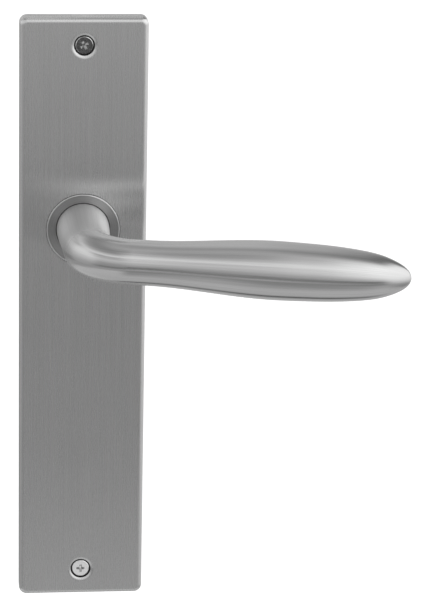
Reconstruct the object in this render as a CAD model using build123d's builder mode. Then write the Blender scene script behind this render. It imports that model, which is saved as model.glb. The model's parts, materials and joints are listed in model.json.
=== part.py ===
from build123d import *
from math import cos, pi, radians, sin, sqrt
import os

# Door lever handle on a long back plate. Millimetres, +Z up.
# The origin is on the spindle's axis, in the plane of the door's face.
# The plate stands out from the door towards -Y, and the lever points along +X.

# Back plate
plate_width = 50.0
plate_height = 240.0
plate_depth = 7.0
plate_wall = 1.5
plate_corner = 3.0
plate_edge = 2.0
spindle_rise = 35.0        # spindle's axis above the plate's middle

# Fixing screws
screw_inset = 11.0         # from each end of the plate to the screw
screw_dish = 5.1           # radius of the pressed dish round the hole
screw_dish_depth = 0.3
screw_mouth = 4.1          # radius of the hole
screw_sunk = 0.75          # from the plate's face to the head's seat
screw_head = 3.45
screw_rim = 0.25
screw_shank = 1.75
screw_thread = 2.0
screw_reach = 30.0         # how far the thread stands out behind the plate
screw_recess = 4.3         # width across the cross recess
screw_blade = 1.15
screw_recess_depth = 1.6
screw_turns = (28.0, 0.0)  # how far each cross is turned, upper then lower
seat_gap = 0.03            # between a countersunk head and its seat
ferrule_wall = 1.2
ferrule_bore = 2.2

# Carrier
skin = 1.5
rib = 1.4
rib_count = 9
fit_gap = 0.2              # between the carrier and the cover's walls
boss_wall = 2.3

# Collar and bearings
collar_face = 4.05         # from the neck out to the collar's edge
collar_proud = 0.3
collar_flange = 1.0
collar_gap = 0.25          # round the collar in the cover's hole
collar_chamfer = 0.35
collar_dish = 1.05         # fall of the collar's face, from its edge to the neck
shoulder_width = 2.35      # from the shank out to the neck
neck_gap = 0.1
glide_wall = 0.3           # nylon ring between the neck and the collar
glide_sunk = 0.15          # below the collar's face
bush_flange = 0.5
bush_lip = 0.7             # the front bush's flange, past its sleeve
bush_wall = 1.9
running_gap = 0.04
close_gap = 0.1
face_gap = 0.05

# Shank of the lever
tail_wall = 1.0            # outside the corners of the spindle's socket
flat_depth = 1.25          # of the two flats that drive the cassette
tail_end = 3.2             # behind the door's face
tail_chamfer = 0.4
groove_depth = 0.5

# Spring cassette
pocket_lip = 2.6           # from the collar's edge out to the pocket's wall
cup_wall = 0.8
cup_key = 4.0
cup_key_reach = 1.5
spring_thickness = 0.6
spring_turns = 3
spring_gap = 0.3
driver_wall = 3.0
driver_slot = 1.4
slide_washer_thickness = 0.3
stop_thickness = 1.0
stop_rim = 3.9             # of the stop plate, past the pocket
stop_screw_radius = 1.1
stop_screw_head = 1.8
stop_screw_skin = 0.6      # from the screw's tip to the cover
stop_screw_count = 4
lug_angle = 24.0
lug_reach = 1.4
lug_root = 1.2
stop_clearance = 0.8       # degrees left at each end of the window
lever_travel = 45.0

# Retaining ring and disc spring
ring_thickness = 1.0
ring_width = 1.95
ring_opening = 50.0
ring_ear = 1.5
disc_spring_height = 0.6
disc_spring_thickness = 0.3

# Spindle
spindle_side = 8.0
spindle_slack = 0.1
socket_floor = 1.8         # from the spindle's end to the bend
spindle_reach = 60.0       # behind the door's face
spindle_chamfer = 0.8
leaf_width = 3.0
leaf_thickness = 0.3
leaf_groove = 0.4
leaf_start = 8.0
leaf_end_gap = 3.0         # from the leaf to the spindle's end
grub_depth = 17.0          # in front of the door's face
grub_radius = 2.5
grub_length = 4.8
grub_hexagon = 2.5

# Lever
lever_droop = 4.07         # degrees that the grip hangs below the level
grip_reach = 47.8          # from the door's face to the grip's axis
bend_radius = 15.0
bend_start_radius = 9.3
bend_end_radius = 8.8
bend_sections = 7
grip_length = 124.76       # from the spindle's axis to the tip
grip_points = ((28.0, 8.85), (42.0, 9.7), (56.0, 10.8), (69.0, 11.4),
               (82.0, 11.25), (93.0, 10.83), (102.0, 10.1), (109.5, 9.08))
tip_length = 6.8           # rounded end of the grip
tip_radius = 6.55

# Radii, each worked out from the spindle outwards
tail_radius = spindle_side / sqrt(2) + tail_wall
shank_flat = tail_radius + close_gap
shank_radius = shank_flat + flat_depth
neck_radius = shank_radius + shoulder_width
collar_radius = neck_radius + collar_face
collar_bore = neck_radius + neck_gap + glide_wall
bush_outer = neck_radius - bush_lip
rear_bush_outer = tail_radius + bush_wall
rear_flange = rear_bush_outer + bush_lip
driver_radius = shank_radius + driver_wall
pocket_radius = collar_radius + pocket_lip
cup_radius = pocket_radius - close_gap
cup_inner = cup_radius - cup_wall
stop_radius = pocket_radius + stop_rim
stop_screw_circle = pocket_radius + stop_rim / 2
ferrule_radius = ferrule_bore + ferrule_wall

# Levels along Y, all worked out from the plate's depth and the cassette's thicknesses
cover_inside = -(plate_depth - plate_wall)
collar_front = -plate_depth - collar_proud
collar_back = cover_inside + collar_flange
shoulder = cover_inside - bush_flange - face_gap
cup_floor_back = collar_back + cup_wall
driver_front = cup_floor_back + slide_washer_thickness + 2 * face_gap
driver_back = -stop_thickness - face_gap
spring_front = driver_front + face_gap
spring_back = driver_back - 8 * face_gap
bush_end = driver_front - face_gap
disc_spring_back = bush_flange + disc_spring_height
ring_front = disc_spring_back + face_gap / 2
screw_zs = [plate_height / 2 - screw_inset - spindle_rise,
            screw_inset - plate_height / 2 - spindle_rise]
stop_screw_length = -cover_inside - stop_screw_skin
bend_start = grip_reach - bend_radius
spindle_depth = bend_start - socket_floor
leaf_length = spindle_depth - leaf_start - leaf_end_gap


def ring_sector(inner, outer, start, size):
    """Face between two radii, from a start angle through a size in degrees."""
    with BuildSketch() as sector:
        with BuildLine():
            outer_arc = CenterArc((0, 0), outer, start, size)
            inner_arc = CenterArc((0, 0), inner, start, size)
            Line(outer_arc @ 0, inner_arc @ 0)
            Line(outer_arc @ 1, inner_arc @ 1)
        make_face()
    return sector.sketch


def polar(radius, degrees):
    return (radius * cos(radians(degrees)), radius * sin(radians(degrees)))


stop_screws = [polar(stop_screw_circle, 45 + 360 / stop_screw_count * i) for i in range(stop_screw_count)]

# Cover plate: a brushed shell, open at the back
with BuildPart() as cover_plate:
    with BuildSketch(Plane.XZ):
        with Locations((0, -spindle_rise)):
            RectangleRounded(plate_width, plate_height, plate_corner)
    extrude(amount=plate_depth)
    fillet(cover_plate.faces().sort_by(Axis.Y)[0].edges(), plate_edge)
    with BuildSketch(Plane.XZ):
        with Locations((0, -spindle_rise)):
            RectangleRounded(plate_width - 2 * plate_wall, plate_height - 2 * plate_wall,
                             plate_corner - plate_wall)
    extrude(amount=-cover_inside, mode=Mode.SUBTRACT)
    cover_floor = cover_plate.faces().filter_by_position(Axis.Y, cover_inside - 0.01, cover_inside + 0.01)
    fillet(cover_floor[0].edges(), plate_edge - plate_wall)
    with BuildSketch(Plane.XZ):
        Circle(collar_radius + collar_gap)
    extrude(amount=plate_depth, mode=Mode.SUBTRACT)
    # Dished holes, each with a sunk seat for the screw's head
    seat_front = -plate_depth + screw_sunk
    seat_radius = screw_head + seat_gap
    for z in screw_zs:
        with BuildSketch(Plane.XY.offset(z)):
            with BuildLine():
                Polyline((0, -plate_depth), (screw_dish, -plate_depth),
                         (screw_mouth, -plate_depth + screw_dish_depth), (screw_mouth, seat_front),
                         (seat_radius, seat_front),
                         (seat_radius - plate_wall + screw_sunk, cover_inside), (0, cover_inside), close=True)
            make_face()
        revolve(axis=Axis((0, 0, z), (0, 1, 0)), mode=Mode.SUBTRACT)

# Carrier: a ribbed nylon moulding that fills the cover
with BuildPart() as base_plate:
    base_width = plate_width - 2 * plate_wall - 2 * fit_gap
    base_height = plate_height - 2 * plate_wall - 2 * fit_gap
    base_corner = plate_corner - plate_wall - fit_gap
    with BuildSketch(Plane.XZ):
        with Locations((0, -spindle_rise)):
            RectangleRounded(base_width, base_height, base_corner)
    extrude(amount=-cover_inside)
    chamfer(base_plate.faces().sort_by(Axis.Y)[0].edges(), plate_edge - plate_wall)
    with BuildSketch(Plane.XZ.offset(skin)):
        with Locations((0, -spindle_rise)):
            Rectangle(base_width - 2 * skin, base_height - 2 * skin)
    extrude(amount=-cover_inside - skin, mode=Mode.SUBTRACT)
    with BuildSketch(Plane.XZ.offset(skin)):
        with Locations((0, -spindle_rise)):
            with GridLocations(0, base_height / (rib_count + 1), 1, rib_count):
                Rectangle(base_width - skin, rib)
            with GridLocations(base_width / 3, 0, 2, 1):
                Rectangle(rib, base_height - skin)
        with Locations(*[(0, z) for z in screw_zs]):
            Circle(ferrule_radius + boss_wall)
    extrude(amount=-cover_inside - skin)
    # The cassette's boss ends at the side walls where it is wider than they are
    with BuildSketch(Plane.XZ.offset(skin)):
        Circle(stop_radius + close_gap + skin)
        Rectangle(base_width - skin, base_width, mode=Mode.INTERSECT)
    extrude(amount=-cover_inside - skin)
    with BuildSketch(Plane.XZ):
        Circle(pocket_radius)
        with Locations(*[(0, z) for z in screw_zs]):
            Circle(ferrule_radius + running_gap)
        Rectangle(2 * (cup_radius + cup_key_reach + close_gap), cup_key + 2 * close_gap)
    extrude(amount=-cover_inside, mode=Mode.SUBTRACT)
    with BuildSketch(Plane.XZ):
        Circle(stop_radius + close_gap)
    extrude(amount=stop_thickness, mode=Mode.SUBTRACT)
    with BuildSketch(Plane.XZ):
        with Locations(*stop_screws):
            Circle(stop_screw_radius + running_gap)
    extrude(amount=stop_screw_length + face_gap, mode=Mode.SUBTRACT)

# Steel tubes that carry the screws' clamping load through the nylon
with BuildPart() as screw_ferrules:
    for z in screw_zs:
        with BuildSketch(Plane.XY.offset(z)):
            with BuildLine():
                Polyline((ferrule_bore, 0), (ferrule_radius, 0), (ferrule_radius, cover_inside),
                         (ferrule_bore + 0.6, cover_inside), (ferrule_bore, cover_inside + 0.6), close=True)
            make_face()
        revolve(axis=Axis((0, 0, z), (0, 1, 0)))

# Two countersunk screws with a rolled thread behind the plate
with BuildPart() as fixing_screws:
    head_front = seat_front - screw_rim
    head_back = seat_front + screw_head - screw_shank
    for z, turn in zip(screw_zs, screw_turns):
        with BuildSketch(Plane.XY.offset(z)):
            with BuildLine():
                Polyline((0, head_front), (screw_head, head_front), (screw_head, seat_front),
                         (screw_shank, head_back),
                         (screw_shank, 0), (screw_thread, 0), (screw_thread, screw_reach - 1),
                         (screw_thread - 0.8, screw_reach), (0, screw_reach), close=True)
            make_face()
        revolve(axis=Axis((0, 0, z), (0, 1, 0)))
        with BuildSketch(Plane.XZ.offset(-head_front)):
            with Locations((0, z)):
                Rectangle(screw_recess, screw_blade, rotation=turn)
                Rectangle(screw_blade, screw_recess, rotation=turn)
        extrude(amount=-screw_recess_depth, taper=10, mode=Mode.SUBTRACT)

# Collar ring: turned, with a dished face and a flange held between the cover and the cassette
with BuildPart() as collar_ring:
    with BuildSketch(Plane.XY):
        with BuildLine():
            Polyline((collar_bore, collar_front + collar_dish),
                     (collar_radius - 2 * collar_chamfer, collar_front + collar_chamfer),
                     (collar_radius - collar_chamfer, collar_front),
                     (collar_radius, collar_front + collar_chamfer), (collar_radius, cover_inside),
                     (cup_radius, cover_inside), (cup_radius, collar_back),
                     (bush_outer + running_gap, collar_back), (bush_outer + running_gap, cover_inside),
                     (collar_bore, cover_inside), close=True)
        make_face()
    revolve(axis=Axis.Y)

# Nylon ring in the collar, round the neck's foot
with BuildPart() as glide_ring:
    with BuildSketch(Plane.XZ.offset(-cover_inside)):
        Circle(collar_bore - running_gap / 2)
        Circle(neck_radius + 2 * running_gap, mode=Mode.SUBTRACT)
    extrude(amount=cover_inside - collar_front - collar_dish - glide_sunk)

# Front bearing of the lever's shank
with BuildPart() as neck_bush:
    with BuildSketch(Plane.XY):
        with BuildLine():
            Polyline((shank_radius + running_gap, shoulder + face_gap),
                     (neck_radius - neck_gap, shoulder + face_gap),
                     (neck_radius - neck_gap, cover_inside), (bush_outer, cover_inside),
                     (bush_outer, bush_end), (shank_radius + running_gap, bush_end), close=True)
        make_face()
    revolve(axis=Axis.Y)

# Rear bearing, in the stop plate
with BuildPart() as rear_bush:
    with BuildSketch(Plane.XY):
        with BuildLine():
            Polyline((tail_radius + running_gap, -stop_thickness), (rear_bush_outer, -stop_thickness),
                     (rear_bush_outer, 0), (rear_flange, 0), (rear_flange, bush_flange),
                     (tail_radius + running_gap, bush_flange), close=True)
        make_face()
    revolve(axis=Axis.Y)

# Pressed cup round the return spring, keyed in the carrier
with BuildPart() as spring_cup:
    with BuildSketch(Plane.XZ.offset(stop_thickness)):
        Circle(cup_radius)
        Rectangle(2 * (cup_radius + cup_key_reach), cup_key)
    extrude(amount=-collar_back - stop_thickness)
    with BuildSketch(Plane.XZ.offset(stop_thickness)):
        Circle(cup_inner)
    extrude(amount=-cup_floor_back - stop_thickness, mode=Mode.SUBTRACT)
    with BuildSketch(Plane.XZ):
        Circle(bush_outer + close_gap)
    extrude(amount=-collar_back, mode=Mode.SUBTRACT)
    with BuildSketch(Plane.XZ.offset(stop_thickness)):
        with Locations((0, cup_radius)):
            Rectangle(spring_thickness + 2 * close_gap, 4 * cup_wall)
    extrude(amount=-cup_floor_back - stop_thickness, mode=Mode.SUBTRACT)

# Flat spiral spring from the driver's slot to the cup's slot, both at the top
with BuildPart() as return_spring:
    spring_start = driver_radius + spring_gap + spring_thickness / 2
    spring_end = cup_inner - spring_gap - spring_thickness / 2
    steps = 12 * spring_turns
    spiral = [(spring_start + (spring_end - spring_start) * i / steps, 90 + 360 * spring_turns * i / steps)
              for i in range(steps + 1)]
    half = spring_thickness / 2
    with BuildSketch(Plane.XZ.offset(-spring_back)):
        with BuildLine():
            outside = Spline(*[polar(r + half, a) for r, a in spiral])
            inside = Spline(*[polar(r - half, a) for r, a in spiral])
            Line(outside @ 0, inside @ 0)
            Line(outside @ 1, inside @ 1)
        make_face()
        with Locations((0, spring_start + half)):
            Rectangle(spring_thickness, spring_start + half - driver_radius + driver_slot - close_gap,
                      align=(Align.CENTER, Align.MAX))
        with Locations((0, spring_end - half)):
            Rectangle(spring_thickness, cup_radius - spring_end + half, align=(Align.CENTER, Align.MIN))
    extrude(amount=spring_back - spring_front)

# Washer that the driver slides on, on the cup's floor
with BuildPart() as slide_washer:
    with BuildSketch(Plane.XZ.offset(-cup_floor_back - face_gap / 2 - slide_washer_thickness)):
        Circle(driver_radius - close_gap)
        Circle(bush_outer + close_gap, mode=Mode.SUBTRACT)
    extrude(amount=slide_washer_thickness)

# Driver: keyed on the shank's flats, with the stop lug behind it
with BuildPart() as driver_ring:
    lug_start = -90 + (lever_travel - lug_angle) / 2
    with BuildSketch(Plane.XZ.offset(-driver_back)):
        Circle(driver_radius)
        with Locations((0, driver_radius)):
            Rectangle(spring_thickness + 2 * close_gap, 2 * driver_slot, mode=Mode.SUBTRACT)
    extrude(amount=driver_back - driver_front)
    with BuildSketch(Plane.XZ.offset(stop_thickness / 6)):
        add(ring_sector(driver_radius - lug_root, driver_radius + lug_reach, lug_start, lug_angle))
    extrude(amount=-driver_back - stop_thickness / 6 + 0.3)
    with BuildSketch(Plane.XZ.offset(-driver_back)):
        Circle(shank_radius + running_gap)
        Rectangle(2 * (shank_flat + running_gap), 4 * shank_radius, mode=Mode.INTERSECT)
    extrude(amount=driver_back - driver_front, mode=Mode.SUBTRACT)

# Stop plate: closes the cassette, and its window sets the lever's travel
with BuildPart() as stop_plate:
    window_start = lug_start - lever_travel - stop_clearance
    window_size = lever_travel + lug_angle + 2 * stop_clearance
    with BuildSketch(Plane.XZ):
        Circle(stop_radius)
        Circle(rear_bush_outer + running_gap, mode=Mode.SUBTRACT)
        add(ring_sector(driver_radius - lug_root - spring_gap, driver_radius + lug_reach + spring_gap,
                        window_start, window_size), mode=Mode.SUBTRACT)
    extrude(amount=stop_thickness)
    with Locations(*[Plane.ZX * Pos(z, x) for x, z in stop_screws]):
        CounterSinkHole(stop_screw_radius + running_gap, stop_screw_head, stop_thickness,
                        counter_sink_angle=90)

# Small screws that hold the stop plate to the carrier
with BuildPart() as stop_plate_screws:
    for x, z in stop_screws:
        with BuildSketch(Plane.XY.offset(z)):
            with BuildLine():
                Polyline((x, -seat_gap), (x + stop_screw_head - 2 * seat_gap, -seat_gap),
                         (x + stop_screw_radius, stop_screw_radius - stop_screw_head + seat_gap),
                         (x + stop_screw_radius, 1 - stop_screw_length), (x, -stop_screw_length), close=True)
            make_face()
        revolve(axis=Axis((x, 0, z), (0, 1, 0)))
        with BuildSketch(Plane.XZ):
            with Locations((x, z)):
                Rectangle(2 * stop_screw_radius, 0.45)
                Rectangle(0.45, 2 * stop_screw_radius)
        extrude(amount=0.7, mode=Mode.SUBTRACT)

# Disc spring that takes up the end play
with BuildPart() as disc_spring:
    disc_inner = tail_radius + 2 * close_gap
    disc_outer = rear_flange - close_gap
    with BuildSketch(Plane.XY):
        with BuildLine():
            Polyline((disc_inner, disc_spring_back), (disc_outer, bush_flange + disc_spring_thickness),
                     (disc_outer, bush_flange), (disc_inner, disc_spring_back - disc_spring_thickness),
                     close=True)
        make_face()
    revolve(axis=Axis.Y)

# Retaining ring in the groove of the shank's tail
with BuildPart() as retaining_ring:
    ring_inner = tail_radius - groove_depth + running_gap
    ear_radius = ring_inner + ring_width / 2
    ear_angles = [-90 - ring_opening / 2, -90 + ring_opening / 2]
    with BuildSketch(Plane.XZ.offset(-ring_front - ring_thickness)):
        add(ring_sector(ring_inner, ring_inner + ring_width, -90 + ring_opening / 2, 360 - ring_opening))
        with Locations(*[polar(ear_radius + 0.3, a) for a in ear_angles]):
            Circle(ring_ear)
            Circle(ring_ear / 2, mode=Mode.SUBTRACT)
        Circle(ring_inner, mode=Mode.SUBTRACT)
    extrude(amount=ring_thickness)

# Square spindle with a groove for its leaf spring
with BuildPart() as spindle:
    with BuildSketch(Plane.XZ.offset(-spindle_reach)):
        Rectangle(spindle_side, spindle_side)
    extrude(amount=spindle_reach + spindle_depth)
    chamfer(spindle.faces().sort_by(Axis.Y)[0].edges() + spindle.faces().sort_by(Axis.Y)[-1].edges(),
            spindle_chamfer)
    with BuildSketch(Plane.XY.offset(spindle_side / 2)):
        with Locations((0, -leaf_start - leaf_length / 2)):
            Rectangle(leaf_width + 2 * close_gap, leaf_length + 2 * close_gap)
    extrude(amount=-leaf_groove, mode=Mode.SUBTRACT)

# Bowed leaf that keeps the spindle from rattling in the lever
with BuildPart() as spindle_spring:
    leaf_low = spindle_side / 2 - leaf_groove + face_gap / 2
    leaf_high = (spindle_side + spindle_slack) / 2 - face_gap / 2
    with BuildSketch(Plane.YZ):
        with BuildLine():
            top = ThreePointArc((-leaf_start, leaf_low + leaf_thickness),
                                (-leaf_start - leaf_length / 2, leaf_high),
                                (-leaf_start - leaf_length, leaf_low + leaf_thickness))
            bottom = ThreePointArc((-leaf_start, leaf_low),
                                   (-leaf_start - leaf_length / 2, leaf_high - leaf_thickness),
                                   (-leaf_start - leaf_length, leaf_low))
            Line(top @ 0, bottom @ 0)
            Line(top @ 1, bottom @ 1)
        make_face()
    extrude(amount=leaf_width / 2, both=True)

# Set screw under the neck, against the spindle
with BuildPart() as grub_screw:
    grub_top = -spindle_side / 2 - face_gap
    with BuildSketch(Plane.XY.offset(grub_top - grub_length)):
        with Locations((0, -grub_depth)):
            Circle(grub_radius - face_gap)
    extrude(amount=grub_length)
    chamfer(grub_screw.edges().filter_by(GeomType.CIRCLE), 0.3)
    with BuildSketch(Plane.XY.offset(grub_top - grub_length)):
        with Locations((0, -grub_depth)):
            RegularPolygon(grub_hexagon / 2, 6, major_radius=False)
    extrude(amount=grub_length / 2, mode=Mode.SUBTRACT)

# Lever: the swing plane holds the bend and the grip, with X along the grip
droop = radians(lever_droop)
swing = Plane(origin=(0, 0, 0), x_dir=(cos(droop), 0, -sin(droop)), z_dir=(sin(droop), 0, cos(droop)))
taper = (bend_start_radius - bend_end_radius) / (bend_radius * pi / 2)
with BuildPart() as lever_handle:
    # Shank and neck, turned about the spindle's axis
    groove = tail_radius - groove_depth
    neck_mid = (bend_start + plate_depth) / 2
    with BuildSketch(Plane.XY):
        with BuildLine():
            Polyline((0, -bend_start), (0, tail_end), (tail_radius - tail_chamfer, tail_end),
                     (tail_radius, tail_end - tail_chamfer),
                     (tail_radius, ring_front + ring_thickness + face_gap),
                     (groove, ring_front + ring_thickness + face_gap), (groove, ring_front - face_gap / 2),
                     (tail_radius, ring_front - face_gap / 2), (tail_radius, driver_back),
                     (shank_radius, driver_back), (shank_radius, shoulder), (neck_radius, shoulder),
                     (neck_radius, collar_front))
            Spline((neck_radius, collar_front), ((neck_radius + bend_start_radius) / 2 - 0.15, -neck_mid),
                   (bend_start_radius, -bend_start), tangents=((0, -1), (-taper, -1)))
            Line((bend_start_radius, -bend_start), (0, -bend_start))
        make_face()
    revolve(axis=Axis.Y)
    # Flats for the driver
    with BuildSketch(Plane.XZ.offset(-driver_back)):
        with Locations((shank_flat, 0), (-shank_flat, 0)):
            Rectangle(2 * flat_depth + close_gap, 2 * shank_radius)
        Rectangle(2 * shank_flat, 2 * shank_radius, mode=Mode.SUBTRACT)
    extrude(amount=driver_back - bush_end, mode=Mode.SUBTRACT)
    # Bend, from the neck into the grip
    for i in range(bend_sections):
        angle = radians(90 * i / (bend_sections - 1))
        centre = swing.from_local_coords((bend_radius * (1 - cos(angle)),
                                          -bend_start - bend_radius * sin(angle), 0))
        heading = swing.from_local_coords((sin(angle), -cos(angle), 0))
        section = bend_start_radius + (bend_end_radius - bend_start_radius) * i / (bend_sections - 1)
        with BuildSketch(Plane(origin=centre, x_dir=swing.z_dir, z_dir=heading)):
            Circle(section)
    loft()
    # Grip, a body of revolution with a rounded tip
    with BuildSketch(swing):
        with BuildLine():
            grip_line = Spline((bend_radius, bend_end_radius - grip_reach),
                               *[(x, r - grip_reach) for x, r in grip_points],
                               (grip_length - tip_length, tip_radius - grip_reach),
                               (grip_length, -grip_reach), tangents=((1, -taper), (0, -1)))
            Polyline(grip_line @ 1, (bend_radius, -grip_reach), grip_line @ 0)
        make_face()
    revolve(axis=Axis(swing.from_local_coords((0, -grip_reach, 0)), swing.x_dir))
    # Square socket for the spindle, and the threaded hole of the set screw
    with BuildSketch(Plane.XZ.offset(-tail_end)):
        Rectangle(spindle_side + spindle_slack, spindle_side + spindle_slack)
    extrude(amount=tail_end + spindle_depth + 2 * face_gap, mode=Mode.SUBTRACT)
    with BuildSketch(Plane.XY.offset(-2 * neck_radius)):
        with Locations((0, -grub_depth)):
            Circle(grub_radius)
    extrude(amount=2 * neck_radius, mode=Mode.SUBTRACT)

pieces = {
    "cover_plate": cover_plate, "base_plate": base_plate, "screw_ferrules": screw_ferrules,
    "fixing_screws": fixing_screws, "collar_ring": collar_ring, "glide_ring": glide_ring,
    "neck_bush": neck_bush, "rear_bush": rear_bush, "spring_cup": spring_cup,
    "return_spring": return_spring, "driver_ring": driver_ring, "slide_washer": slide_washer,
    "stop_plate": stop_plate, "stop_plate_screws": stop_plate_screws, "disc_spring": disc_spring,
    "retaining_ring": retaining_ring, "spindle": spindle, "spindle_spring": spindle_spring,
    "grub_screw": grub_screw, "lever_handle": lever_handle,
}
os.makedirs("parts", exist_ok=True)
for name, piece in pieces.items():
    piece.part.label = name
    export_step(piece.part, f"parts/{name}.step")
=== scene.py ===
import bpy
import bmesh
import json
import math
from mathutils import Matrix, Vector


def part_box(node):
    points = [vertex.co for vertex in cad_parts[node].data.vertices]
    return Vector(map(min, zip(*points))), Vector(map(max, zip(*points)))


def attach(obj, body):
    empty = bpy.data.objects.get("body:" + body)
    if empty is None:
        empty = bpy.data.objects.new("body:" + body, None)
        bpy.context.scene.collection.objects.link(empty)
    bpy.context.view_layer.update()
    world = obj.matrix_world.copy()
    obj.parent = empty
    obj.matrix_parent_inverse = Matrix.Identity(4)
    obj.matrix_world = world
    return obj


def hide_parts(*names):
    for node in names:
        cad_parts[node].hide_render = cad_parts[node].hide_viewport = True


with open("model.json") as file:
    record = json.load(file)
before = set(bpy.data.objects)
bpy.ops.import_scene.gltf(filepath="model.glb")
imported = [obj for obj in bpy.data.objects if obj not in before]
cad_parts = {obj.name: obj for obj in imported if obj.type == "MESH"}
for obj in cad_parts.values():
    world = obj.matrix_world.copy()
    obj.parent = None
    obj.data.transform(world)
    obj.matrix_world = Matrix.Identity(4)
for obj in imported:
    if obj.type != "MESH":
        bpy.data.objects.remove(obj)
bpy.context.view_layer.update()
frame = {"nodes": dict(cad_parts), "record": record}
mm = 0.001


def deselectAll():
    if bpy.context.object and bpy.context.object.mode != "OBJECT":
        bpy.ops.object.mode_set(mode="OBJECT")
    bpy.ops.object.select_all(action="DESELECT")


def pick(obj):
    deselectAll()
    obj.select_set(True)
    bpy.context.view_layer.objects.active = obj


def wrapGrid(name, columns, rows, place):
    # A grid rolled into a closed skin. place(u, v) gives each point, u round the piece and v along it
    deselectAll()
    bpy.ops.mesh.primitive_grid_add(x_subdivisions=columns, y_subdivisions=rows, size=1, calc_uvs=True)
    obj = bpy.context.object
    obj.name = name
    for vertex in obj.data.vertices:
        vertex.co = place(vertex.co.x + 0.5, vertex.co.y + 0.5)
    bpy.ops.object.mode_set(mode="EDIT")
    bpy.ops.mesh.select_all(action="SELECT")
    bpy.ops.mesh.remove_doubles(threshold=0.002 * mm)
    bpy.ops.mesh.normals_make_consistent(inside=False)
    bpy.ops.object.mode_set(mode="OBJECT")
    return obj


def turned(name, profile, columns=96, centre=(0, 0)):
    # A piece turned about an axis along Y, from a closed list of (radius, y) in millimetres
    spots = profile + profile[:1]
    rows = len(spots) - 1

    def place(u, v):
        radius, y = spots[min(round(v * rows), rows)]
        turn = 2 * math.pi * u
        across, up = radius * mm * math.cos(turn), radius * mm * math.sin(turn)
        return Vector((centre[0] + across, y * mm, centre[1] + up))

    return wrapGrid(name, columns, rows, place)


def applyModifiers(obj):
    pick(obj)
    for modifier in list(obj.modifiers):
        bpy.ops.object.modifier_apply(modifier=modifier.name)


def cutWith(obj, cutters):
    for cutter in cutters:
        cut = obj.modifiers.new("cut", "BOOLEAN")
        cut.operation = "DIFFERENCE"
        cut.solver = "EXACT"
        cut.object = cutter
    applyModifiers(obj)
    for cutter in cutters:
        bpy.data.objects.remove(cutter)


def smooth(obj, angle=32):
    pick(obj)
    bpy.ops.object.shade_smooth_by_angle(angle=math.radians(angle))
    weighted = obj.modifiers.new("normals", "WEIGHTED_NORMAL")
    weighted.keep_sharp = True
    weighted.weight = 60
    applyModifiers(obj)


def block(name, low, high):
    # A box between two corners, in millimetres
    low, high = Vector(low) * mm, Vector(high) * mm
    deselectAll()
    bpy.ops.mesh.primitive_cube_add(size=1, location=(0, 0, 0))
    obj = bpy.context.object
    obj.name = name
    bpy.ops.object.mode_set(mode="EDIT")
    bpy.ops.transform.resize(value=tuple(high - low))
    bpy.ops.transform.translate(value=tuple((high + low) / 2))
    bpy.ops.object.mode_set(mode="OBJECT")
    return obj


def markFaces(obj, name, wanted):
    # An attribute that is 1 on the faces whose middle, in millimetres, is wanted
    mark = obj.data.attributes.new(name, "FLOAT", "CORNER")
    for face in obj.data.polygons:
        if wanted(face.center / mm):
            for corner in face.loop_indices:
                mark.data[corner].value = 1.0


def boxOf(node):
    # Low and high corner of a CAD node, in millimetres
    return [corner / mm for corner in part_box(node)]


def finishPiece(obj, body, slot, material, *nodes):
    obj.data.materials.clear()
    obj.data.materials.append(material)
    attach(obj, body)
    if nodes:
        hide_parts(*nodes)


def newMaterial(name):
    material = bpy.data.materials.new(name)
    material.use_nodes = True
    nodes = material.node_tree.nodes
    return material, nodes, material.node_tree.links, nodes["Principled BSDF"]


def addNode(nodes, kind, **values):
    node = nodes.new(kind)
    for key, value in values.items():
        if key in node.inputs:
            node.inputs[key].default_value = value
        else:
            setattr(node, key, value)
    return node


def toneWhere(material, attribute, tone):
    # Another base colour where the mesh's own attribute is set
    nodes, links = material.node_tree.nodes, material.node_tree.links
    shader = nodes["Principled BSDF"]
    colour = shader.inputs["Base Color"].links[0].from_socket
    mask = addNode(nodes, "ShaderNodeAttribute", attribute_name=attribute)
    mix = addNode(nodes, "ShaderNodeMix", data_type="RGBA")
    mix.inputs["B"].default_value = (tone, tone, tone, 1)
    links.new(mask.outputs["Fac"], mix.inputs["Factor"])
    links.new(colour, mix.inputs["A"])
    links.new(mix.outputs["Result"], shader.inputs["Base Color"])


def roughenAlong(material, ends, roughness):
    # Roughness that changes between two places along Y, such as from the polished grip to the turned neck
    nodes, links = material.node_tree.nodes, material.node_tree.links
    shader = nodes["Principled BSDF"]
    found = shader.inputs["Roughness"].links[0].from_socket
    parts = addNode(nodes, "ShaderNodeSeparateXYZ")
    links.new(objectSpace(nodes, links), parts.inputs["Vector"])
    share = addNode(nodes, "ShaderNodeMapRange", interpolation_type="SMOOTHSTEP")
    share.inputs["From Min"].default_value, share.inputs["From Max"].default_value = ends
    links.new(parts.outputs["Y"], share.inputs["Value"])
    mix = addNode(nodes, "ShaderNodeMix")
    mix.inputs["B"].default_value = roughness
    links.new(share.outputs["Result"], mix.inputs["Factor"])
    links.new(found, mix.inputs["A"])
    links.new(mix.outputs["Result"], shader.inputs["Roughness"])


def toneMix(nodes, links, factor, dark, light):
    ramp = nodes.new("ShaderNodeValToRGB")
    ramp.color_ramp.elements[0].position = 0.3
    ramp.color_ramp.elements[0].color = (*dark, 1)
    ramp.color_ramp.elements[1].position = 0.7
    ramp.color_ramp.elements[1].color = (*light, 1)
    links.new(factor, ramp.inputs["Fac"])
    return ramp.outputs["Color"]


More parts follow.
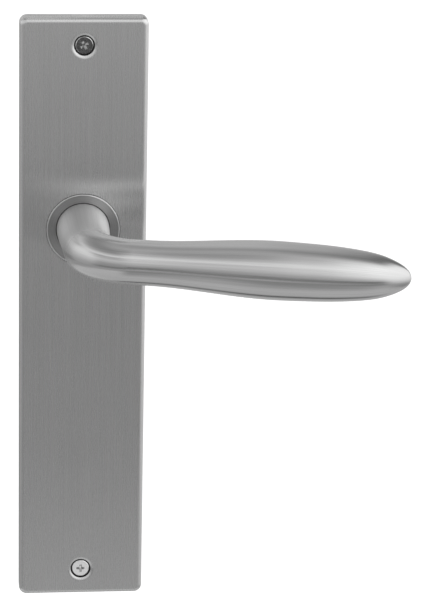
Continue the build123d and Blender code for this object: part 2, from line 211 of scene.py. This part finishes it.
def metal(name, tone, roughness, coordinates, grainScale, grain=0.06, bump=0.02, anisotropy=0.0, tangent="",
          cloud=0.04, roughSpread=0.06):
    # Brushed or turned metal. coordinates is a function that returns the grain's vector socket
    material, nodes, links, shader = newMaterial(name)
    vector = coordinates(nodes, links)
    scaled = addNode(nodes, "ShaderNodeMapping")
    scaled.inputs["Scale"].default_value = grainScale
    links.new(vector, scaled.inputs["Vector"])
    fine = addNode(nodes, "ShaderNodeTexNoise", Scale=1.0, Detail=4.0, Roughness=0.6)
    links.new(scaled.outputs["Vector"], fine.inputs["Vector"])
    place = addNode(nodes, "ShaderNodeTexCoord")
    broad = addNode(nodes, "ShaderNodeTexNoise", Scale=26.0, Detail=3.0, Roughness=0.55)
    links.new(place.outputs["Object"], broad.inputs["Vector"])
    mixed = addNode(nodes, "ShaderNodeMix", data_type="RGBA", blend_type="MULTIPLY")
    mixed.inputs["Factor"].default_value = 1.0
    dark, light = [c * (1 - grain) for c in tone], [min(1, c * (1 + grain)) for c in tone]
    links.new(toneMix(nodes, links, fine.outputs["Fac"], dark, light), mixed.inputs["A"])
    links.new(toneMix(nodes, links, broad.outputs["Fac"], (1 - cloud,) * 3, (1, 1, 1)), mixed.inputs["B"])
    links.new(mixed.outputs["Result"], shader.inputs["Base Color"])
    spread = addNode(nodes, "ShaderNodeMapRange")
    spread.inputs["To Min"].default_value = roughness - roughSpread
    spread.inputs["To Max"].default_value = roughness + roughSpread
    links.new(fine.outputs["Fac"], spread.inputs["Value"])
    links.new(spread.outputs["Result"], shader.inputs["Roughness"])
    relief = addNode(nodes, "ShaderNodeBump", Strength=bump, Distance=0.0002)
    links.new(fine.outputs["Fac"], relief.inputs["Height"])
    links.new(relief.outputs["Normal"], shader.inputs["Normal"])
    shader.inputs["Metallic"].default_value = 1.0
    shader.inputs["Anisotropic"].default_value = anisotropy
    if tangent:
        # A quarter turn from the way round, so reflections spread across grain that runs in circles
        shader.inputs["Anisotropic Rotation"].default_value = 0.25
        way = addNode(nodes, "ShaderNodeTangent", direction_type="UV_MAP" if tangent == "UV" else "RADIAL")
        if tangent != "UV":
            way.axis = tangent
        links.new(way.outputs["Tangent"], shader.inputs["Tangent"])
    return material


def objectSpace(nodes, links):
    return addNode(nodes, "ShaderNodeTexCoord").outputs["Object"]


def uvSpace(nodes, links):
    return addNode(nodes, "ShaderNodeTexCoord").outputs["UV"]


def ringSpace(nodes, links):
    # Distance from the spindle's axis, so that the grain runs in circles round it
    parts = addNode(nodes, "ShaderNodeSeparateXYZ")
    links.new(objectSpace(nodes, links), parts.inputs["Vector"])
    flat = addNode(nodes, "ShaderNodeCombineXYZ")
    links.new(parts.outputs["X"], flat.inputs["X"])
    links.new(parts.outputs["Z"], flat.inputs["Y"])
    length = addNode(nodes, "ShaderNodeVectorMath", operation="LENGTH")
    links.new(flat.outputs["Vector"], length.inputs[0])
    out = addNode(nodes, "ShaderNodeCombineXYZ")
    links.new(length.outputs["Value"], out.inputs["X"])
    links.new(parts.outputs["Y"], out.inputs["Y"])
    return out.outputs["Vector"]


def plastic(name, tone, roughness, bump=0.15):
    material, nodes, links, shader = newMaterial(name)
    place = addNode(nodes, "ShaderNodeTexCoord")
    grain = addNode(nodes, "ShaderNodeTexNoise", Scale=2500.0, Detail=3.0, Roughness=0.6)
    broad = addNode(nodes, "ShaderNodeTexNoise", Scale=60.0, Detail=4.0, Roughness=0.55)
    links.new(place.outputs["Object"], grain.inputs["Vector"])
    links.new(place.outputs["Object"], broad.inputs["Vector"])
    dark, light = [c * 0.85 for c in tone], [min(1, c * 1.12) for c in tone]
    colour = toneMix(nodes, links, broad.outputs["Fac"], dark, light)
    links.new(colour, shader.inputs["Base Color"])
    spread = addNode(nodes, "ShaderNodeMapRange")
    spread.inputs["To Min"].default_value = roughness - 0.08
    spread.inputs["To Max"].default_value = roughness + 0.08
    links.new(broad.outputs["Fac"], spread.inputs["Value"])
    links.new(spread.outputs["Result"], shader.inputs["Roughness"])
    relief = addNode(nodes, "ShaderNodeBump", Strength=bump, Distance=0.0003)
    links.new(grain.outputs["Fac"], relief.inputs["Height"])
    links.new(relief.outputs["Normal"], shader.inputs["Normal"])
    return material


finish = {
    "plateTone": (0.73, 0.73, 0.73), "plateRoughness": 0.27, "plateAnisotropy": 1.0,
    "leverTone": (0.63, 0.63, 0.63), "leverRoughness": 0.18, "leverAnisotropy": 0.8,
    "neckRoughness": 0.5, "neckEnds": (-0.05, -0.018),      # along Y, in metres
    "collarTone": (0.5, 0.5, 0.5), "collarRoughness": 0.36, "collarAnisotropy": 0.9,
    "rimHighlightTone": 0.97,        # of the collar's rounded edge, which really reflects as a bright line; the near-white tone is painted highlight that brightens it
    "holePaintedShadeTone": 0.05,   # of the screw holes' sides: painted shade, a near-black tone in place of the shadow inside the holes
}

brushedPlate = metal("brushedPlate", finish["plateTone"], finish["plateRoughness"], objectSpace,
                     (2600, 2600, 14), grain=0.024, bump=0.012, anisotropy=finish["plateAnisotropy"])
# Painted shade: the screw holes' sides get a near-black base colour in place of the shadow inside the holes
toneWhere(brushedPlate, "holePaintedShade", finish["holePaintedShadeTone"])
satinLever = metal("satinLever", finish["leverTone"], finish["leverRoughness"], uvSpace, (260, 3, 1),
                   bump=0.03, roughSpread=0.04, anisotropy=finish["leverAnisotropy"], tangent="UV")
roughenAlong(satinLever, finish["neckEnds"], finish["neckRoughness"])
turnedCollar = metal("turnedCollar", finish["collarTone"], finish["collarRoughness"], ringSpace,
                     (5200, 900, 1), grain=0.16, bump=0.12, anisotropy=finish["collarAnisotropy"],
                     tangent="Y")
# Painted highlight: the collar's rounded edge gets a near-white base colour that brightens the bright line it
# reflects
toneWhere(turnedCollar, "rim", finish["rimHighlightTone"])
plainNickel = metal("plainNickel", (0.74, 0.74, 0.74), 0.11, objectSpace, (900, 900, 900), roughSpread=0.03)
zincSteel = metal("zincSteel", (0.62, 0.63, 0.65), 0.38, objectSpace, (300, 300, 300), grain=0.12,
                  cloud=0.1)
drawnSteel = metal("drawnSteel", (0.55, 0.55, 0.56), 0.34, objectSpace, (2200, 16, 2200), grain=0.12)
springSteel = metal("springSteel", (0.24, 0.24, 0.26), 0.32, objectSpace, (500, 500, 500), grain=0.15)
sinteredSteel = metal("sinteredSteel", (0.3, 0.29, 0.28), 0.5, objectSpace, (3000, 3000, 3000), grain=0.25,
                      bump=0.15)
blackSteel = metal("blackSteel", (0.09, 0.09, 0.095), 0.42, objectSpace, (900, 900, 900), grain=0.2)
carrierNylon = plastic("carrierNylon", (0.028, 0.028, 0.03), 0.5)
bearingNylon = plastic("bearingNylon", (0.74, 0.72, 0.66), 0.42)
slotMaterials = {
    "brushed_plate": brushedPlate, "satin_lever": satinLever, "turned_collar": turnedCollar,
    "screw_steel": plainNickel, "zinc_steel": zincSteel, "sintered_steel": sinteredSteel,
    "spring_steel": springSteel, "spindle_steel": drawnSteel, "black_steel": blackSteel,
    "carrier_nylon": carrierNylon, "bearing_nylon": bearingNylon,
}
print("materials made")


plate = {
    "corner": 3.0, "edge": 2.0, "wall": 1.5, "cornerSteps": 8, "edgeSteps": 7,
    "collarHole": 14.657,       # radius
    "screwDish": 5.3, "screwMouth": 4.1, "dishDepth": 0.4, "dishSteps": 6, "screwSunk": 0.75, "headGap": 0.03,
}
plateLow, plateHigh = boxOf("cover_plate")
screwLow, screwHigh = boxOf("fixing_screws")
plateFront = plateLow.y
screwHeadRadius = (screwHigh.x - screwLow.x) / 2
screwHeights = [screwHigh.z - screwHeadRadius, screwLow.z + screwHeadRadius]


def screwDish(height):
    # Pressed dish, hole and sunk seat of a screw, as a cutter
    dish, mouth, depth = plate["screwDish"], plate["screwMouth"], plate["dishDepth"]
    spots = [(0.0, plateFront - 1), (dish, plateFront - 1), (dish, plateFront)]
    for step in range(1, plate["dishSteps"] + 1):
        share = step / plate["dishSteps"]
        spots.append((dish + (mouth - dish) * share, plateFront + depth * share ** 2))
    seat = plateFront + plate["screwSunk"]
    inner = screwHeadRadius + plate["headGap"]
    throat, inside = inner - plate["wall"] + plate["screwSunk"], plateFront + plate["wall"]
    spots += [(mouth, seat), (inner, seat), (throat, inside), (throat, inside + 1), (0.0, inside + 1)]
    return turned("screwDish", spots, 72, (0, height * mm))


def makeCoverPlate():
    obj = block("coverPlate", plateLow, plateHigh)
    pick(obj)
    bpy.ops.object.mode_set(mode="EDIT")
    shape = bmesh.from_edit_mesh(obj.data)
    for edge in shape.edges:
        along = (edge.verts[0].co - edge.verts[1].co).normalized()
        edge.select = abs(along.y) > 0.9
    bmesh.update_edit_mesh(obj.data)
    bpy.ops.mesh.bevel(offset=plate["corner"] * mm, segments=plate["cornerSteps"], profile=0.5)
    shape = bmesh.from_edit_mesh(obj.data)
    for edge in shape.edges:
        edge.select = all(abs(vertex.co.y - plateFront * mm) < 0.01 * mm for vertex in edge.verts)
    bmesh.update_edit_mesh(obj.data)
    bpy.ops.mesh.bevel(offset=plate["edge"] * mm, segments=plate["edgeSteps"], profile=0.5)
    # The back is sunk to leave the shell's wall
    bpy.ops.mesh.select_mode(type="FACE")
    bpy.ops.mesh.select_all(action="DESELECT")
    shape = bmesh.from_edit_mesh(obj.data)
    for face in shape.faces:
        face.select_set(face.normal.y > 0.9)
    bmesh.update_edit_mesh(obj.data)
    bpy.ops.mesh.inset(thickness=plate["wall"] * mm)
    bpy.ops.mesh.extrude_region_move(
        TRANSFORM_OT_translate={"value": (0, (plateFront - plateHigh.y + plate["wall"]) * mm, 0)})
    bpy.ops.mesh.select_mode(type="VERT")
    bpy.ops.object.mode_set(mode="OBJECT")
    radius, back = plate["collarHole"], plateHigh.y
    front = plateFront - 1
    hole = turned("collarHole", [(0.0, front), (radius, front), (radius, back), (0.0, back)], 128)
    cutWith(obj, [hole] + [screwDish(height) for height in screwHeights])
    smooth(obj)
    # The screw holes' sides get painted shade, a near-black tone in place of the shadow inside the holes
    markFaces(obj, "holePaintedShade", lambda middle: middle.y > plateFront + plate["dishDepth"] + 0.02 and min(
        math.hypot(middle.x, middle.z - height) for height in screwHeights) < plate["screwMouth"] + 0.02)
    return obj


coverPlate = makeCoverPlate()
finishPiece(coverPlate, "plate", "brushed_plate", brushedPlate, "cover_plate")
print("cover plate made")


collar = {"radius": 14.407, "rim": 0.26, "rimSteps": 6, "dish": 1.05, "bore": 10.757, "sleeve": 9.697}


def makeCollar():
    radius, rim, bore, sleeve = collar["radius"], collar["rim"], collar["bore"], collar["sleeve"]
    collarLow, collarHigh = boxOf("collar_ring")
    front, back = collarLow.y, collarHigh.y
    flange = (collarHigh.x - collarLow.x) / 2
    inside = plateFront + plate["wall"]
    rimFoot = front + rim + 0.05
    spots = [(bore, front + collar["dish"]), (radius - 2 * rim - 0.05, rimFoot)]
    for step in range(collar["rimSteps"] + 1):
        turn = math.pi * (1 - step / collar["rimSteps"])
        spots.append((radius - rim + rim * math.cos(turn), front + rim - rim * math.sin(turn)))
    spots += [(radius, inside), (flange, inside), (flange, back), (sleeve, back), (sleeve, inside),
              (bore, inside)]
    obj = turned("collarRing", spots, 144)
    smooth(obj, 25)
    # The rounded edge's faces, which get the painted highlight tone
    markFaces(obj, "rim", lambda middle: middle.y < rimFoot
              and math.hypot(middle.x, middle.z) > radius - 2 * rim)
    return obj


collarRing = makeCollar()
finishPiece(collarRing, "plate", "turned_collar", turnedCollar, "collar_ring")
print("collar made")


screw = {
    "shank": 1.75, "thread": 2.0, "root": 1.62, "pitch": 0.7, "rim": 0.2, "turns": (28.0, 0.0),
    "recess": 4.3, "blade": 1.15, "recessDepth": 1.4, "around": 28, "perPitch": 8,
    "footLength": 0.15, "footWidth": 0.6,       # of the cross at its bottom, as shares of its mouth
}


def makeScrew(name, height, crossTurn):
    front, end = screwLow.y, screwHigh.y
    rim, shank = screw["rim"], screw["shank"]
    seat = plateFront + plate["screwSunk"]
    headSpots = [(0.0, front), (screwHeadRadius - rim, front), (screwHeadRadius, front + rim * 0.7),
                 (screwHeadRadius, seat), (shank, seat + screwHeadRadius - shank), (shank, 0.0), (0.0, 0.0)]
    obj = turned(name, headSpots, 64, (0, height * mm))
    cutters = []
    for quarter in (0, 90):
        arm = block("arm", (-screw["recess"] / 2, front - 0.5, -screw["blade"] / 2),
                    (screw["recess"] / 2, front + screw["recessDepth"], screw["blade"] / 2))
        # The cross runs to a point
        for vertex in arm.data.vertices:
            if vertex.co.y > (front + 0.1) * mm:
                vertex.co.x *= screw["footLength"]
                vertex.co.z *= screw["footWidth"]
        arm.data.transform(Matrix.Rotation(-math.radians(crossTurn + quarter), 4, "Y"))
        arm.data.transform(Matrix.Translation((0, 0, height * mm)))
        cutters.append(arm)
    cutWith(obj, cutters)
    # Rolled thread behind the plate
    rows = int(end / screw["pitch"]) * screw["perPitch"]

    def threadSpot(u, v):
        y = v * end
        phase = (y / screw["pitch"] - u) % 1
        ridge = 1 - abs(2 * phase - 1)
        fade = min(1, (1 - v) * 14, v * 40)
        radius = screw["root"] + (screw["thread"] - screw["root"]) * min(1, ridge * 1.15) * fade
        turn = 2 * math.pi * u
        return Vector((radius * mm * math.cos(turn), y * mm, (height + radius * math.sin(turn)) * mm))

    thread = wrapGrid(name + "Thread", screw["around"], rows, threadSpot)
    pick(thread)
    bpy.ops.object.mode_set(mode="EDIT")
    bpy.ops.mesh.select_all(action="DESELECT")
    bpy.ops.mesh.select_non_manifold()
    bpy.ops.mesh.edge_face_add()
    bpy.ops.object.mode_set(mode="OBJECT")
    smooth(obj, 25)
    smooth(thread, 60)
    deselectAll()
    thread.select_set(True)
    obj.select_set(True)
    bpy.context.view_layer.objects.active = obj
    bpy.ops.object.join()
    return obj


for screwName, screwHeight, screwTurn in zip(("screwUpper", "screwLower"), screwHeights, screw["turns"]):
    fixingScrew = makeScrew(screwName, screwHeight, screwTurn)
    finishPiece(fixingScrew, "plate", "screw_steel", plainNickel, "fixing_screws")
print("screws made")


lever = {
    "droop": 4.07, "reach": 47.8, "bend": 15.0, "bendStart": 9.3, "bendEnd": 8.8, "length": 124.76,
    "grip": ((28.0, 8.85), (42.0, 9.7), (56.0, 10.8), (69.0, 11.4), (82.0, 11.25), (93.0, 10.83),
             (102.0, 10.1), (109.5, 9.08), (117.96, 6.55)),
    "neck": 10.357, "neckFoot": -7.3, "shoulder": -6.05, "shank": 8.007, "tail": 6.657, "tailEnd": 3.2,
    "keyEnd": -1.05,        # where the driver's flats end, along Y
    "tailChamfer": 0.4, "groove": 0.5, "shoulderChamfer": 0.15, "waist": 0.15,
    "socket": 4.05,         # half of the spindle's square
    "grubHole": 2.5, "grubHoleLength": 12,
    "around": 96, "neckSteps": 26, "bendSteps": 30, "gripSteps": 260,
}


def splineThrough(points, count, firstWay, lastWay):
    # Smooth curve through (x, y) points that leaves and arrives along the given directions
    n = len(points)
    t = [0.0]
    for before, after in zip(points, points[1:]):
        t.append(t[-1] + math.dist(before, after))
    slopes = []
    for axis in (0, 1):
        y = [point[axis] for point in points]
        upper, found = [0.0] * n, [firstWay[axis]] + [0.0] * (n - 1)
        for i in range(1, n - 1):
            before, after = t[i] - t[i - 1], t[i + 1] - t[i]
            right = 3 * (before * (y[i + 1] - y[i]) / after + after * (y[i] - y[i - 1]) / before)
            pivot = 2 * (before + after) - after * upper[i - 1]
            upper[i] = before / pivot
            found[i] = (right - after * found[i - 1]) / pivot
        found[n - 1] = lastWay[axis]
        for i in range(n - 2, 0, -1):
            found[i] -= upper[i] * found[i + 1]
        slopes.append((y, found))
    out = []
    for k in range(count + 1):
        s = t[-1] * k / count
        i = max(j for j in range(n - 1) if t[j] <= s + 1e-9)
        span = t[i + 1] - t[i]
        w = (s - t[i]) / span
        start, end = (1 + 2 * w) * (1 - w) ** 2, w * w * (3 - 2 * w)
        startSlope, endSlope = w * (1 - w) ** 2 * span, w * w * (w - 1) * span
        out.append(tuple(start * y[i] + startSlope * m[i] + end * y[i + 1] + endSlope * m[i + 1]
                         for y, m in slopes))
    return out


def leverRings():
    # Centre, direction and radius of each ring, from the tail to the tip, in the swing plane
    bend, reach, bendStart = lever["bend"], lever["reach"], lever["reach"] - lever["bend"]
    tail, neck, shoulder, tailEnd = lever["tail"], lever["neck"], lever["shoulder"], lever["tailEnd"]
    chamfer, edge, keyEnd = lever["tailChamfer"], lever["shoulderChamfer"], lever["keyEnd"]
    ringLow, ringHigh = boxOf("retaining_ring")
    grooveBack, grooveFront, grooveFloor = ringHigh.y + 0.05, ringLow.y - 0.03, tail - lever["groove"]
    steps = [(0.0, tailEnd), (tail - chamfer, tailEnd), (tail, tailEnd - chamfer), (tail, grooveBack),
             (grooveFloor, grooveBack), (grooveFloor, grooveFront), (tail, grooveFront), (tail, keyEnd),
             (lever["shank"], keyEnd), (lever["shank"], shoulder), (neck - edge, shoulder),
             (neck, shoulder - edge)]
    waist = (neck + lever["bendStart"]) / 2 - lever["waist"]
    neckLine = [(lever["neckFoot"], neck), ((lever["neckFoot"] - bendStart) / 2, waist),
                (-bendStart, lever["bendStart"])]
    steps += [(radius, y) for y, radius in splineThrough(neckLine, lever["neckSteps"], (-1, 0), (-1, -0.02))]
    rings = [(Vector((0, y, 0)), Vector((0, -1, 0)), radius) for radius, y in steps]
    for step in range(1, lever["bendSteps"] + 1):
        share = step / lever["bendSteps"]
        turn = math.radians(90 * share)
        centre = Vector((bend * (1 - math.cos(turn)), -bendStart - bend * math.sin(turn), 0))
        radius = lever["bendStart"] + (lever["bendEnd"] - lever["bendStart"]) * share
        rings.append((centre, Vector((math.sin(turn), -math.cos(turn), 0)), radius))
    gripLine = [(bend, lever["bendEnd"]), *lever["grip"], (lever["length"], 0.0)]
    for x, radius in splineThrough(gripLine, lever["gripSteps"], (1, -0.02), (0, -1))[1:]:
        rings.append((Vector((x, -reach, 0)), Vector((1, 0, 0)), radius))
    return rings


def makeLever():
    swing = Matrix.Rotation(math.radians(lever["droop"]), 3, "Y")
    rings = leverRings()
    up = Vector((0, 0, 1))

    def place(u, v):
        centre, heading, radius = rings[min(round(v * (len(rings) - 1)), len(rings) - 1)]
        side = heading.cross(up)
        turn = 2 * math.pi * u
        spot = centre + radius * (math.cos(turn) * -up + math.sin(turn) * side)
        return swing @ (spot * mm)

    obj = wrapGrid("leverHandle", lever["around"], len(rings) - 1, place)
    # The spindle's socket, the driver's flats and the set screw's hole
    socket, beyond = lever["socket"], 12
    spindleFront, driverFront = boxOf("spindle")[0].y, boxOf("driver_ring")[0].y
    cutters = [block("socket", (-socket, spindleFront - 0.1, -socket), (socket, 5, socket))]
    flat = lever["tail"] + 0.1
    for near, far in ((-beyond, -flat), (flat, beyond)):
        cutters.append(block("flat", (near, driverFront - 0.05, -9), (far, lever["keyEnd"], 9)))
    grubLow, grubHigh = boxOf("grub_screw")
    deselectAll()
    bpy.ops.mesh.primitive_cylinder_add(
        vertices=48, radius=lever["grubHole"] * mm, depth=lever["grubHoleLength"] * mm,
        location=(0, (grubLow.y + grubHigh.y) / 2 * mm, -9 * mm))
    grubHole = bpy.context.object
    bpy.ops.object.transform_apply(location=True, rotation=True, scale=True)
    cutWith(obj, cutters + [grubHole])
    smooth(obj, 40)
    return obj


leverHandle = makeLever()
finishPiece(leverHandle, "lever", "satin_lever", satinLever, "lever_handle")
print("lever made")


slotOf = {row["node"]: row["material_slot"] for row in frame["record"]["subparts"]}
for node, obj in frame["nodes"].items():
    obj.data.materials.clear()
    obj.data.materials.append(slotMaterials[slotOf[node]])
print("nodes coloured")


studio = {
    "floorDrop": 120.0, "floorTone": 0.86, "floorGlow": 0.55, "strength": 2.0,
    # (degrees, light) round the room: 0 is level in front, 90 overhead, -90 underfoot and 180 behind
    "farLeft": ((-90, 0.45), (-50, 0.34), (-25, 0.42), (-10, 0.56), (2, 0.74), (14, 0.96), (30, 1.04),
                (42, 0.7), (56, 0.7), (66, 1.0), (90, 0.5)),
    "left": ((-90, 0.55), (-36, 0.66), (-31, 0.4), (-26, 0.44), (-24, 0.44), (-22.3, 0.28), (-15.5, 0.26),
             (-14, 0.39), (-6, 0.4), (1, 0.46), (9, 0.66), (15, 0.7), (21, 0.66), (26, 0.5), (30.5, 0.54),
             (34.5, 1.0), (37.5, 0.86), (42, 0.6), (51, 0.36), (64, 0.32), (76, 0.45), (90, 0.5)),
    "middle": ((-180, 0.53), (-124, 0.56), (-114, 0.45), (-107, 0.09), (-103, 0.12), (-96, 0.56), (-66, 0.61),
               (-52, 0.42), (-38, 0.31), (-30, 0.31), (-26, 0.48), (-24, 0.48), (-22.3, 0.28), (-20, 0.29),
               (-15.5, 0.26), (-14.2, 0.4), (-9, 0.43), (-3, 0.49), (9, 0.66), (18, 0.8), (26, 0.72),
               (34, 0.98), (40, 0.9), (52, 0.55), (66, 0.38), (82, 0.53), (100, 0.42), (118, 0.66),
               (180, 0.55)),
    "right": ((-180, 0.55), (-130, 0.6), (-60, 0.62), (-40, 0.48), (-30, 0.24), (-26, 0.38), (-24, 0.38),
              (-22.3, 0.22), (-15.5, 0.24), (-13.5, 0.5), (0, 0.95), (12, 1.22), (30, 1.36), (60, 1.38),
              (74, 1.1), (84, 0.6), (94, 0.26), (110, 0.18), (160, 0.2), (180, 0.55)),
    "farRight": ((-90, 0.6), (-60, 0.6), (-42, 0.32), (-30, 0.45), (-18, 0.8), (-8, 1.05), (10, 1.3),
                 (60, 1.4), (80, 1.2), (90, 1.0)),
    # Where each side gives way to the next, as the sideways part of the direction
    "farLeftFade": (-0.92, -0.76), "leftFade": (-0.25, 0.05), "rightFade": (0.15, 0.5),
    "farRightFade": (0.56, 0.76),
    # Small cards in front: sideways place, level, half width, half height, light
    "cards": ((0.058, -11.9, 0.03, 2.6, 0.0), (0.055, -22.9, 0.02, 1.3, 1.15)),
}


def makeFloor():
    deselectAll()
    bpy.ops.mesh.primitive_plane_add(size=12)
    floor = bpy.context.object
    floor.name = "floor"
    floor.location = (0, 0, (plateLow.z - studio["floorDrop"]) * mm)
    material, nodes, links, shader = newMaterial("paleFloor")
    tone = studio["floorTone"]
    shader.inputs["Base Color"].default_value = (tone, tone, tone, 1)
    shader.inputs["Roughness"].default_value = 0.9
    shader.inputs["Emission Color"].default_value = (1, 1, 1, 1)
    shader.inputs["Emission Strength"].default_value = studio["floorGlow"]
    floor.data.materials.append(material)
    floor.visible_glossy = False


def makeRoom():
    world = bpy.data.worlds.new("studio")
    world.use_nodes = True
    bpy.context.scene.world = world
    nodes, links = world.node_tree.nodes, world.node_tree.links
    background = nodes["Background"]
    place = nodes.new("ShaderNodeTexCoord")
    parts = nodes.new("ShaderNodeSeparateXYZ")
    links.new(place.outputs["Generated"], parts.inputs["Vector"])
    forward = addNode(nodes, "ShaderNodeMath", operation="MULTIPLY")
    forward.inputs[1].default_value = -1
    links.new(parts.outputs["Y"], forward.inputs[0])
    angle = addNode(nodes, "ShaderNodeMath", operation="ARCTAN2")
    links.new(parts.outputs["Z"], angle.inputs[0])
    links.new(forward.outputs["Value"], angle.inputs[1])
    height = addNode(nodes, "ShaderNodeMath", operation="ARCSINE")
    links.new(parts.outputs["Z"], height.inputs[0])
    strength = studio["strength"]

    def bands(side, angleSocket, reach):
        # Colour ramp over an angle that runs from -reach to reach degrees
        share = addNode(nodes, "ShaderNodeMapRange")
        share.inputs["From Min"].default_value = -math.radians(reach)
        share.inputs["From Max"].default_value = math.radians(reach)
        links.new(angleSocket, share.inputs["Value"])
        ramp = nodes.new("ShaderNodeValToRGB")
        stops = ramp.color_ramp.elements
        spots = studio[side]
        for k, (degrees, light) in enumerate(spots):
            position = (degrees + reach) / (2 * reach)
            stop = stops[0] if k == 0 else (stops[-1] if k == len(spots) - 1 else stops.new(position))
            stop.position = position
            stop.color = (light / strength, light / strength, light / strength, 1)
        links.new(share.outputs["Result"], ramp.inputs["Fac"])
        return ramp.outputs["Color"]

    def blend(first, second, fade):
        side = addNode(nodes, "ShaderNodeMapRange", interpolation_type="SMOOTHSTEP")
        side.inputs["From Min"].default_value, side.inputs["From Max"].default_value = fade
        links.new(parts.outputs["X"], side.inputs["Value"])
        mix = addNode(nodes, "ShaderNodeMix", data_type="RGBA")
        links.new(side.outputs["Result"], mix.inputs["Factor"])
        links.new(first, mix.inputs["A"])
        links.new(second, mix.inputs["B"])
        return mix.outputs["Result"]

    colour = blend(bands("farLeft", height.outputs["Value"], 90), bands("left", height.outputs["Value"], 90),
                   studio["farLeftFade"])
    colour = blend(colour, bands("middle", angle.outputs["Value"], 180), studio["leftFade"])
    colour = blend(colour, bands("right", angle.outputs["Value"], 180), studio["rightFade"])
    colour = blend(colour, bands("farRight", height.outputs["Value"], 90), studio["farRightFade"])
    for side, level, halfWidth, halfHeight, light in studio["cards"]:
        # 1 inside the card, falling softly to 0 round it
        factor = None
        for socket, centre, half in ((parts.outputs["X"], side, halfWidth),
                                     (angle.outputs["Value"], math.radians(level), math.radians(halfHeight))):
            off = addNode(nodes, "ShaderNodeMath", operation="SUBTRACT")
            off.inputs[1].default_value = centre
            links.new(socket, off.inputs[0])
            size = addNode(nodes, "ShaderNodeMath", operation="ABSOLUTE")
            links.new(off.outputs["Value"], size.inputs[0])
            inside = addNode(nodes, "ShaderNodeMapRange", interpolation_type="SMOOTHSTEP")
            inside.inputs["From Min"].default_value = half * 1.5
            inside.inputs["From Max"].default_value = half * 0.75
            links.new(size.outputs["Value"], inside.inputs["Value"])
            if factor is None:
                factor = inside.outputs["Result"]
            else:
                both = addNode(nodes, "ShaderNodeMath", operation="MULTIPLY")
                links.new(factor, both.inputs[0])
                links.new(inside.outputs["Result"], both.inputs[1])
                factor = both.outputs["Value"]
        card = addNode(nodes, "ShaderNodeMix", data_type="RGBA")
        card.inputs["B"].default_value = (light / strength, light / strength, light / strength, 1)
        links.new(factor, card.inputs["Factor"])
        links.new(colour, card.inputs["A"])
        colour = card.outputs["Result"]
    links.new(colour, background.inputs["Color"])
    background.inputs["Strength"].default_value = strength


view = {
    "azimuth": -6.06, "elevation": 17.53, "roll": 1.23, "distance": 1200.0, "target": (53.2, 0.0, -34.1),
    "lens": 176.2,
}


def makeCamera():
    side, rise = math.radians(view["azimuth"]), math.radians(view["elevation"])
    back = Vector((math.sin(side) * math.cos(rise), -math.cos(side) * math.cos(rise), math.sin(rise)))
    right = (-back).cross(Vector((0, 0, 1))).normalized()
    up = right.cross(-back)
    roll = math.radians(view["roll"])
    tilted = math.cos(roll) * right + math.sin(roll) * up
    upright = -math.sin(roll) * right + math.cos(roll) * up
    data = bpy.data.cameras.new("camera")
    data.lens = view["lens"]
    data.sensor_width = 36
    data.clip_end = 50
    camera = bpy.data.objects.new("camera", data)
    bpy.context.scene.collection.objects.link(camera)
    place = Matrix((tilted, upright, back)).transposed().to_4x4()
    place.translation = (Vector(view["target"]) + back * view["distance"]) * mm
    camera.matrix_world = place
    bpy.context.scene.camera = camera


makeFloor()
makeRoom()
makeCamera()
bpy.context.scene.view_settings.view_transform = "Standard"
print("studio made")
